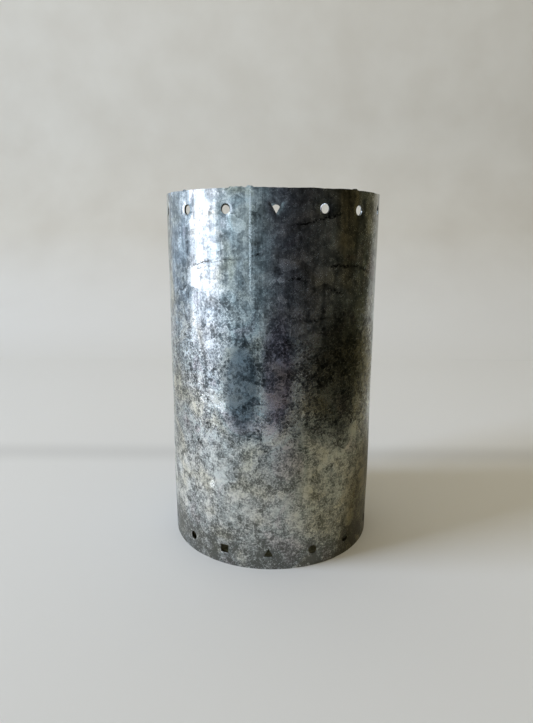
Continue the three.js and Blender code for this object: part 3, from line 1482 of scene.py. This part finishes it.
    def _rim_rise(self, azimuth: float, height: float) -> float:
        """Return how far the hand-cut edges stray from level at a point near them.

        Args:
            azimuth: Azimuth in degrees.
            height: Height above the table.

        Returns:
            Upward distance in metres.
        """
        turn = math.radians(azimuth)
        ring = Vector((math.cos(turn), math.sin(turn), 0.0))
        cut = noise.noise(ring * 4.0) * 0.5 + noise.noise(ring * 17.0) * 0.25
        rise = cut * smoothstep(self.height - 9 * MM, self.height, height)
        foot = abs(noise.noise(ring * 6.0 + Vector((0, 0, 5)))) * 0.35
        rise += foot * smoothstep(6 * MM, 0.0, height)
        if height > self.height - 0.1 * MM:
            for burr in RIM_BURRS:
                off = abs((azimuth - burr.azimuth + 180) % 360 - 180) * math.radians(1)
                half = burr.width / 2 * MM
                if off * self.radius < half:
                    jag = 0.65 + 0.5 * noise.noise(ring * 90.0)
                    rise += burr.rise * jag
        return rise * MM

    def _rim_bend(self, wall: Vector, height: float) -> float:
        """Return how far the snips bent the top edge out or in at a point."""
        near_top = smoothstep(self.height - 4 * MM, self.height, height)
        return noise.noise(Vector((wall.x, wall.y, 0.0)) / (7 * MM)) * 0.32 * MM * near_top

    def _face_outwards(self, mesh: bpy.types.Mesh) -> None:
        """Flip the open sheet's faces if they look inwards.

        Args:
            mesh: The sheet.
        """
        face = mesh.polygons[0]
        if face.normal.x * face.center.x + face.normal.y * face.center.y < 0:
            mesh.flip_normals()


# ---- Rivets ----


@dataclass
class Rivet:
    """A tinner's rivet: a low domed head, a shank and a tail hammered flat."""

    head: float = 3.2 * MM
    crown: float = 1.3 * MM
    shank: float = 1.6 * MM
    tail: float = 2.8 * MM
    tail_depth: float = 0.9 * MM
    gap: float = 0.3 * MM

    def mesh(self, name: str, stack: float, seed: float) -> bpy.types.Mesh:
        """Build a rivet with its head on top of z = 0.

        Args:
            name: The mesh's name.
            stack: Thickness of the sheets that it holds.
            seed: Shifts the hammer marks, so that no two rivets are alike.

        Returns:
            The mesh.
        """
        under = -stack - self.gap
        dome = [
            (
                self.head * math.cos(math.radians(a)) ** 0.8,
                self.gap + 0.25 * MM + (self.crown - 0.25 * MM) * math.sin(math.radians(a)),
            )
            for a in range(0, 90, 10)
        ]
        profile = [
            (0.0, under - self.tail_depth),
            (self.tail * 0.7, under - self.tail_depth),
            (self.tail * 0.94, under - self.tail_depth * 0.8),
            (self.tail, under - self.tail_depth * 0.45),
            (self.tail * 0.93, under),
            (self.shank, under),
            (self.shank, self.gap),
            (self.head * 0.96, self.gap),
            *dome,
            (0.0, self.gap + self.crown),
        ]

        def hammered(angle: float, radius: float, height: float) -> float:
            """Return the small flats that the hammer left."""
            spot = Vector((math.cos(angle), math.sin(angle), height / MM * 0.4 + seed))
            return noise.noise(spot * 1.3) * 0.12 * MM * (radius > self.shank)

        return turned_mesh(name, profile, 36, hammered)


@dataclass
class SeamRivets:
    """The row of rivets that holds the sleeve's lap shut."""

    sleeve: Sleeve
    lowest: float = 24 * MM
    highest: float = 230 * MM
    count: int = 6

    def build(self, finish: bpy.types.Material) -> None:
        """Set the rivets down the seam.

        Args:
            finish: The rivets' material.
        """
        azimuth = math.radians(self.sleeve.seam_azimuth)
        out = Vector((math.sin(azimuth), -math.cos(azimuth), 0.0))
        stack = 2 * self.sleeve.sheet + self.sleeve.gap
        turn = Vector((0, 0, 1)).rotation_difference(out)
        for i in range(self.count):
            height = self.lowest + (self.highest - self.lowest) * i / (self.count - 1)
            name = f"seam_rivet_head_{i + 1}"
            mesh = Rivet().mesh(name, stack, seed=i * 3.1)
            foot = out * self.sleeve.radius + Vector((0, 0, height))
            foot += out * self.sleeve.unevenness(foot)
            mesh.transform(turn.to_matrix().to_4x4())
            for vertex in mesh.vertices:
                vertex.co += foot
            add_piece(name, mesh, (finish,), "sleeve_body", f"seam_rivet_{i + 1}")


# ---- Pan, cup and spike ----


@dataclass
class DripPan:
    """The pressed pan, the cup riveted to it and the spike in the middle."""

    sheet: float = 0.7 * MM
    floor: float = 3.2 * MM
    flat: float = 55 * MM
    moat: float = 58.2 * MM
    foot: float = 67.6 * MM
    bead: float = 1.0 * MM
    cup_sheet: float = 0.6 * MM
    cup_lip: float = 1.8 * MM
    gap: float = 0.3 * MM
    rivet_circle: float = 24 * MM
    rivet_count: int = 3
    collar: float = 5 * MM
    spike: float = 2.2 * MM

    def build(self, rivet_finish: bpy.types.Material) -> None:
        """Build every piece of the pan.

        Args:
            rivet_finish: The rivets' material.
        """
        zinc = GalvanisedSteel(
            "galvanised_steel_pressed",
            dark="#6d6950",
            middle="#a19c7f",
            pale="#cdc8af",
            bloom="#b9ae88",
            crystal=3.4,
            tilt=0.06,
            roughness=0.4,
            contrast=0.6,
            bloom_cover=0.7,
            foot_below=-60.0,
        ).material()
        self._pan(zinc)
        self._cup(zinc)
        self._rivets(rivet_finish)
        self._spike()

    def _pan(self, finish: bpy.types.Material) -> None:
        """Build the pan: a raised floor, a drip moat that it stands on and a rolled edge.

        Args:
            finish: The pan's material.
        """
        _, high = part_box("candle_pan")
        bead_height = high[2] - self.bead
        bead_middle = high[0] - self.bead
        under = rounded(
            [
                (0.0, self.floor),
                (self.flat, self.floor),
                (self.moat, 0.0),
                (self.foot, 0.0),
                (self.foot + 2.6 * MM, 1.0 * MM),
                (self.foot + 3.3 * MM, 3.0 * MM),
                (bead_middle + 0.2 * MM, bead_height - 1.0 * MM),
            ],
            1.6 * MM,
        )
        section = thickened(under, self.sheet)
        split = len(under)
        bead = arc((bead_middle, bead_height), self.bead, -74, 236, 14)
        profile = [*section[: split - 1], *bead, *section[split + 1 :]]

        def pressed(angle: float, radius: float, height: float) -> float:
            """Return the slight unevenness of hand pressing."""
            spot = Vector((math.cos(angle), math.sin(angle), 0.0)) * 1.6
            return noise.noise(spot) * 0.35 * MM * smoothstep(40 * MM, 72 * MM, radius)

        mesh = turned_mesh("drip_pan", profile, 160, pressed)
        add_piece("drip_pan", mesh, (finish,), "pan_body", "candle_pan")

    def _cup(self, finish: bpy.types.Material) -> None:
        """Build the cup, its rim flared outwards.

        Args:
            finish: The cup's material.
        """
        low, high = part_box("candle_cup")
        lip = high[0]
        wall = lip - self.cup_lip
        outer = rounded(
            [
                (0.0, low[2]),
                (wall, low[2]),
                (wall, high[2] - self.cup_lip - 0.6 * MM),
                (lip - 0.5 * MM, high[2] - 0.6 * MM),
            ],
            1.5 * MM,
        )
        section = thickened(outer, self.cup_sheet)
        mesh = turned_mesh("candle_socket", section, 144)
        add_piece("candle_socket", mesh, (finish,), "pan_body", "candle_cup")

    def _rivets(self, finish: bpy.types.Material) -> None:
        """Set the rivets that hold the cup on the pan.

        Args:
            finish: The rivets' material.
        """
        top = self.floor + self.sheet + self.gap + self.cup_sheet
        stack = self.sheet + self.gap + self.cup_sheet
        for i in range(self.rivet_count):
            angle = math.radians(90 + 360 * i / self.rivet_count)
            name = f"cup_rivet_head_{i + 1}"
            mesh = Rivet().mesh(name, stack, seed=20 + i * 2.7)
            foot = Vector(
                (self.rivet_circle * math.cos(angle), self.rivet_circle * math.sin(angle), top)
            )
            for vertex in mesh.vertices:
                vertex.co += foot
            add_piece(name, mesh, (finish,), "pan_body", f"cup_rivet_{i + 1}")

    def _spike(self) -> None:
        """Build the spike: a peened tail, a collar and a long point."""
        low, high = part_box("pricket_spike")
        top = self.floor + self.sheet + self.gap + self.cup_sheet
        collar_top = top + self.gap + 1.0 * MM
        length = high[2] - collar_top
        tail_top = low[2] + 1.0 * MM
        profile = [
            (0.0, low[2]),
            (3.0 * MM, low[2]),
            (3.6 * MM, low[2] + 0.3 * MM),
            (3.8 * MM, low[2] + 0.7 * MM),
            (3.7 * MM, tail_top),
            (1.9 * MM, tail_top),
            (1.9 * MM, top + self.gap),
            (self.collar - 0.2 * MM, top + self.gap),
            (self.collar, top + self.gap + 0.2 * MM),
            (self.collar, collar_top - 0.25 * MM),
            (self.collar - 0.25 * MM, collar_top),
            (self.spike + 0.5 * MM, collar_top),
            *(
                (self.spike * (1 - share) ** 0.75, collar_top + 0.5 * MM + (length - 0.5 * MM) * share)
                for share in (0.0, 0.15, 0.3, 0.45, 0.6, 0.75, 0.87, 0.95)
            ),
            (0.0, high[2]),
        ]
        finish = PlatedSteel("smoked_mild_steel", "#7d7b76", "#3d3a36", 0.38).material()
        mesh = turned_mesh("pricket", profile, 40)
        add_piece("pricket", mesh, (finish,), "pan_body", "pricket_spike")


# ---- Candle ----


@dataclass
class PillarCandle:
    """A pillar candle with a burnt hollow in its top, and its wick."""

    pool: float = 7 * MM
    socket: float = 3 * MM
    socket_depth: float = 24 * MM
    wick_hole: float = 1.4 * MM
    strand: float = 0.52 * MM
    twist: float = 6 * MM
    lean: float = 2.2 * MM
    edge_width: float = 3.4 * MM
    edge_round: float = 2.2 * MM
    run_depth: float = 0.85 * MM
    run_width: float = 3.2
    base: float = field(init=False)
    top: float = field(init=False)
    radius: float = field(init=False)
    surface: float = field(init=False)
    drips: tuple[tuple[float, float, float], ...] = (
        (35.0, 30 * MM, 1.0),
        (52.0, 52 * MM, 0.8),
        (150.0, 40 * MM, 0.9),
        (171.0, 22 * MM, 0.7),
        (262.0, 62 * MM, 1.0),
        (318.0, 34 * MM, 0.8),
    )

    def __post_init__(self) -> None:
        """Take the outer sizes from the CAD candle."""
        low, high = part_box("candle")
        self.base, self.top = low[2], high[2]
        self.radius = high[0]
        self.surface = self.top - self.pool

    def build(self) -> None:
        """Build the candle and its wick."""
        mesh = turned_mesh("pillar_candle", self._section(), 144, self._swell, closed=True)
        wax = IvoryWax(pool_height=self.surface).material()
        add_piece("pillar_candle", mesh, (wax,), "candle_body", "candle")
        cotton = BraidedCotton(char_above=self.surface + 3 * MM).material()
        add_piece("cotton_wick", self._wick(), (cotton,), "candle_body", "wick")

    def _section(self) -> Profile:
        """Return the candle's section, from its socket out, up, over the top and down the wick.

        Returns:
            Points of radius and height.
        """
        edge = self.radius - self.edge_width
        shoulder = self.edge_round
        side_rows = 40
        side = [
            (self.radius, self.base + 1 * MM + (self.top - self.base - 4 * MM) * i / side_rows)
            for i in range(side_rows + 1)
        ]
        hollow = [
            (edge * share, self.surface + (self.pool - 0.5 * MM) * share**6 + 0.3 * MM * share)
            for share in (0.985, 0.95, 0.9, 0.83, 0.72, 0.55, 0.35, 0.15)
        ]
        return [
            (self.socket, self.base),
            (self.radius - 1.2 * MM, self.base),
            (self.radius - 0.4 * MM, self.base + 0.3 * MM),
            *side,
            *arc((self.radius - shoulder, self.top - shoulder), shoulder, 20, 90, 6),
            (edge + 0.5 * MM, self.top - 0.1 * MM),
            *hollow,
            (self.wick_hole, self.surface),
            (self.wick_hole, self.base + self.socket_depth + 2 * MM),
            (self.socket, self.base + self.socket_depth),
        ]

    def _swell(self, angle: float, radius: float, height: float) -> float:
        """Return the wax runs and slight sway of the candle's side at a point.

        Args:
            angle: Direction from the axis, in radians.
            radius: Distance from the axis.
            height: Height above the table.

        Returns:
            What is added to the radius, in metres.
        """
        if radius < self.radius - 6 * MM:
            return 0.0
        turn = math.degrees(angle) % 360
        run = 0.0
        for azimuth, length, width in self.drips:
            off = abs((turn - azimuth + 180) % 360 - 180) / (self.run_width * width)
            fall = (self.top - height) / length
            bead = 1.0 + 0.6 * math.exp(-(((fall - 0.9) / 0.12) ** 2))
            along = smoothstep(1.08, 0.94, fall) * smoothstep(-0.02, 0.1, fall)
            run = max(run, math.exp(-off * off) * along * bead)
        spot = Vector((math.cos(angle) * 2, math.sin(angle) * 2, height / (30 * MM)))
        return run * self.run_depth + noise.noise(spot) * 0.12 * MM

    def _wick(self) -> bpy.types.Mesh:
        """Build the wick as three strands twisted together.

        Returns:
            The mesh.
        """
        low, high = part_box("wick")
        sides, strands = 8, 3
        rows = round((high[2] - low[2]) / (self.twist / 12))
        points, faces = [], []
        for strand in range(strands):
            for i in range(rows + 1):
                height = low[2] + (high[2] - low[2]) * i / rows
                bend = smoothstep(self.surface, high[2] + 2 * MM, height) * self.lean
                turn = 2 * math.pi * (strand / strands + height / self.twist)
                fray = smoothstep(high[2] - 2 * MM, high[2], height) * 0.25 * MM
                offset = self.strand * 1.05 + fray
                middle = Vector((bend + offset * math.cos(turn), offset * math.sin(turn), height))
                thin = 1.0 - 0.45 * smoothstep(high[2] - 3 * MM, high[2], height)
                for k in range(sides):
                    a = 2 * math.pi * k / sides
                    ring = Vector((math.cos(a), math.sin(a), 0.0)) * self.strand * thin
                    points.append(tuple(middle + ring))
            first = strand * (rows + 1) * sides
            for i in range(rows):
                for k in range(sides):
                    a, b = first + i * sides + k, first + i * sides + (k + 1) % sides
                    faces.append((a, b, b + sides, a + sides))
            faces.append(tuple(first + k for k in reversed(range(sides))))
            last = first + rows * sides
            faces.append(tuple(last + k for k in range(sides)))
        return finished_mesh("cotton_wick", points, faces)


# ---- Studio ----


@dataclass
class Studio:
    """The table, backdrop, window light, dim room and camera."""

    table_left: float = 1.1
    table_right: float = 0.34
    table_front: float = 0.3
    floor_side: float = 2.4
    floor_front: float = -3.0
    floor_drop: float = 0.0001
    cove_start: float = 0.6
    cove_radius: float = 0.5
    wall_top: float = 2.4
    window_azimuth: float = -76.0
    window_distance: float = 2.4
    window_size: tuple[float, float] = (1.2, 2.1)
    window_height: float = 1.0
    window_power: float = 47.0
    window_spread: float = 110.0
    window_drop: float = 0.25
    window_colour: str = "#dbe8ff"
    ceiling_place: tuple[float, float, float] = (0.1, -0.1, 2.1)
    ceiling_aim: tuple[float, float, float] = (0.1, 0.2, 0.0)
    ceiling_size: tuple[float, float] = (2.8, 2.8)
    ceiling_power: float = 16.0
    ceiling_colour: str = "#ffefd2"
    fill_strength: float = 0.48
    fill_colour: str = "#aca48b"
    wall_colour: str = "#f6f4ec"
    room_strength: float = 4.0
    mirrored: tuple[float, float] = (-0.9, 1.1)
    lens: float = 27.46
    camera_place: tuple[float, float, float] = (0.0, -0.4178, 0.2254)
    camera_pitch: float = -12.77
    camera_yaw: float = -0.56
    camera_roll: float = 0.19
    # What the zinc mirrors round the room: azimuth from -180 to 180, and colour.
    # The strength of the room multiplies these colours.
    room: tuple[tuple[float, str], ...] = (
        (-180, "#6d737a"),
        (-118, "#727d89"),
        (-97, "#747f8b"),
        (-91, "#e1e5f1"),
        (-63, "#d3d8e4"),
        (-57, "#717e86"),
        (-30, "#646f76"),
        (-14, "#495257"),
        (2, "#2c2e33"),
        (24, "#1b1a1b"),
        (60, "#1e1d19"),
        (98, "#1f1e17"),
        (118, "#252317"),
        (150, "#4d4a3f"),
    )

    def build(self) -> None:
        """Build the stage, the lights and the camera."""
        self._stage()
        self._window()
        self._ceiling()
        self._room()
        self._camera()
        bpy.context.scene.view_settings.view_transform = "Standard"

    def _stage(self) -> None:
        """Build the table, the coved backdrop, and the floor round them."""
        paper = MattPaper().material()
        depth = self.cove_start
        bow = [
            (
                (self.table_left if a < 0 else self.table_right) * math.sin(math.radians(a)),
                -self.table_front * math.cos(math.radians(a)),
                0.0,
            )
            for a in range(-90, 91, 6)
        ]
        table = [*bow, (self.table_right, depth, 0.0), (-self.table_left, depth, 0.0)]
        self._sheet("table", table, [tuple(range(len(table)))], paper)
        cove = arc((depth, self.cove_radius), self.cove_radius, -90, 0, 16)
        wall = [*cove, (depth + self.cove_radius, self.wall_top)]
        left, right = self.mirrored
        self._swept("backdrop", wall, paper, left, right)
        for name, start, end in (
            ("backdrop_left", -self.floor_side, left),
            ("backdrop_right", right, self.floor_side),
        ):
            self._swept(name, wall, paper, start, end).visible_glossy = False
        # The floor round the table fills the view from other sides. The zinc mirrors the dim
        # room there instead, as it would on a small table.
        line = [(self.floor_front, -self.floor_drop), (depth, -self.floor_drop)]
        floor = self._swept("floor", line, paper, -self.floor_side, self.floor_side)
        floor.visible_glossy = False
        floor.visible_shadow = False

    def _swept(
        self, name: str, line: Profile, finish: bpy.types.Material, left: float, right: float
    ) -> bpy.types.Object:
        """Sweep a line of Y and Z from side to side into a sheet of the stage.

        Args:
            name: The object's name.
            line: Points of Y and Z.
            finish: Its material.
            left: X of its left side.
            right: X of its right side.

        Returns:
            The object.
        """
        points = [(side, y, z) for y, z in line for side in (left, right)]
        faces = [(2 * i, 2 * i + 1, 2 * i + 3, 2 * i + 2) for i in range(len(line) - 1)]
        return self._sheet(name, points, faces, finish)

    def _sheet(
        self, name: str, points: list, faces: list, finish: bpy.types.Material
    ) -> bpy.types.Object:
        """Add a sheet of the stage.

        Args:
            name: The object's name.
            points: Vertex places.
            faces: Vertex numbers of each face.
            finish: Its material.

        Returns:
            The object.
        """
        mesh = bpy.data.meshes.new(name)
        mesh.from_pydata(points, [], faces)
        for face in mesh.polygons:
            face.use_smooth = True
        mesh.materials.append(finish)
        sheet = bpy.data.objects.new(name, mesh)
        bpy.context.scene.collection.objects.link(sheet)
        return sheet

    def _area_light(
        self,
        name: str,
        place: Vector,
        aim: Vector,
        size: tuple[float, float],
        power: float,
        colour: str,
        spread: float = 180.0,
    ) -> bpy.types.Object:
        """Add a rectangular light that only scatters: the room colours give the reflections.

        Args:
            name: The light's name.
            place: Where it stands.
            aim: What it points at.
            size: Width and height.
            power: Power in watts.
            colour: sRGB hex colour.
            spread: How wide the light fans out, in degrees.

        Returns:
            The light object.
        """
        data = bpy.data.lights.new(name, "AREA")
        data.shape = "RECTANGLE"
        data.size, data.size_y = size
        data.energy = power
        data.color = srgb(colour)[:3]
        lamp = bpy.data.objects.new(name, data)
        lamp.location = place
        lamp.rotation_mode = "QUATERNION"
        lamp.rotation_quaternion = (aim - place).to_track_quat("-Z", "Y")
        bpy.context.scene.collection.objects.link(lamp)
        data.spread = math.radians(spread)
        lamp.visible_camera = False
        lamp.visible_glossy = False
        return lamp

    def _window(self) -> None:
        """Add the window: tall, cool, to the left and a little in front."""
        azimuth = math.radians(self.window_azimuth)
        place = Vector((math.sin(azimuth), -math.cos(azimuth), 0.0)) * self.window_distance
        place.z = self.window_height
        aim = Vector((0.0, 0.0, self.window_height - self.window_drop))
        self._area_light(
            "window",
            place,
            aim,
            self.window_size,
            self.window_power,
            self.window_colour,
            self.window_spread,
        )

    def _ceiling(self) -> None:
        """Add a broad weak light overhead, as a pale ceiling gives."""
        self._area_light(
            "ceiling",
            Vector(self.ceiling_place),
            Vector(self.ceiling_aim),
            self.ceiling_size,
            self.ceiling_power,
            self.ceiling_colour,
        )

    def _room(self) -> None:
        """Make the room: pale as a soft light, and its own bright and dim sides in reflections."""
        world = bpy.data.worlds.new("room")
        bpy.context.scene.world = world
        world.use_nodes = True
        tree = world.node_tree
        tree.nodes.clear()
        view = add_node(tree, "TexCoord").outputs["Generated"]
        direction = add_node(tree, "SeparateXYZ", {0: view})
        back = add_node(
            tree, "Math", {0: direction.outputs[1], 1: -1.0}, operation="MULTIPLY"
        ).outputs[0]
        azimuth = add_node(
            tree, "Math", {0: direction.outputs[0], 1: back}, operation="ARCTAN2"
        ).outputs[0]
        turn = add_node(
            tree, "Math", {0: azimuth, 1: 1 / (2 * math.pi), 2: 0.5}, operation="MULTIPLY_ADD"
        ).outputs[0]
        sides = add_node(
            tree,
            "ValToRGB",
            {0: turn},
            stops=[((a + 180) / 360, code) for a, code in self.room],
        ).outputs[0]
        path = add_node(tree, "LightPath")
        mirrored, seen = path.outputs["Is Glossy Ray"], path.outputs["Is Camera Ray"]
        walls = add_node(
            tree,
            "Mix",
            {0: seen, 6: srgb(self.fill_colour), 7: srgb(self.wall_colour)},
            data_type="RGBA",
        ).outputs[2]
        colour = add_node(tree, "Mix", {0: mirrored, 6: walls, 7: sides}, data_type="RGBA").outputs[2]
        gain = self.room_strength - self.fill_strength
        strength = summed(tree, self.fill_strength, (mirrored, gain))
        background = add_node(tree, "Background", {"Color": colour, "Strength": strength})
        add_node(tree, "OutputWorld", {"Surface": background.outputs[0]})
        world.cycles.sampling_method = "NONE"

    def _camera(self) -> None:
        """Add the camera."""
        data = bpy.data.cameras.new("camera")
        data.lens = self.lens
        data.sensor_width = 36.0
        camera = bpy.data.objects.new("camera", data)
        bpy.context.scene.collection.objects.link(camera)
        pitch, yaw = math.radians(self.camera_pitch), math.radians(self.camera_yaw)
        ahead = Vector(
            (math.sin(yaw) * math.cos(pitch), math.cos(yaw) * math.cos(pitch), math.sin(pitch))
        )
        camera.location = self.camera_place
        camera.rotation_mode = "QUATERNION"
        roll = Quaternion((0, 0, 1), math.radians(self.camera_roll))
        camera.rotation_quaternion = ahead.to_track_quat("-Z", "Y") @ roll
        bpy.context.scene.camera = camera


def main() -> None:
    """Build the lantern, sub-assembly by sub-assembly, and the studio round it."""
    logging.basicConfig(level=logging.INFO, format="%(name)s: %(message)s")
    plated = PlatedSteel("zinc_plated_steel", "#8d8f90", "#4f5152", 0.3).material()
    sleeve = Sleeve()
    sleeve.build()
    SeamRivets(sleeve).build(plated)
    DripPan().build(plated)
    PillarCandle().build()
    Studio().build()


if __name__ == "__main__":
    main()
